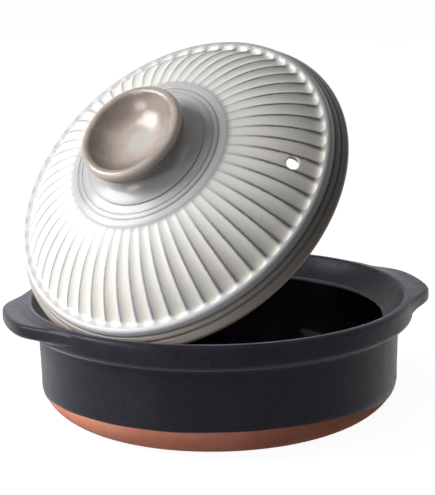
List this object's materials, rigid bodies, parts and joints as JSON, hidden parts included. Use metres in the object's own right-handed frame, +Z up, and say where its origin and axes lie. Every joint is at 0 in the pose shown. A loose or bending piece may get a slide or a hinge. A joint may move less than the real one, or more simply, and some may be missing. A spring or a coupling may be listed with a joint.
{
  "type": "donabe pot",
  "caption": "Round low clay stove pot with a flared rim, a sloping gallery and two lug handles, and a fluted dome lid with a steam hole and a dished knob, tilted open",
  "frame": {"origin": "centre of the flat foot, on the surface it stands on", "axes": "+Z up along the pot's axis, +X through the right handle; the lid leans back over the -X -Y side"},
  "size_m": [0.2824, 0.255, 0.2408],
  "materials": {
    "black_glaze": "satin black glaze, glossier inside",
    "bare_clay": "bare fired terracotta, matt",
    "white_glaze": "warm white glaze, thin and dark on the ridges, taupe on the edge bands",
    "taupe_glaze": "glossy taupe glaze"
  },
  "bodies": {
    "pot": {"pot_body": "black_glaze", "pot_base": "bare_clay", "handle_left": "black_glaze", "handle_right": "black_glaze"},
    "lid": {"lid_dome": "white_glaze", "lid_knob": "taupe_glaze"}
  },
  "joints": [
    {"name": "lid_tilt", "type": "hinge", "parent": "pot", "child": "lid", "pos_m": [-0.08969, -0.06907, 0.0698], "axis": [0.6101, -0.7923, 0], "range_deg": [-46.6, 8.4]}
  ]
}
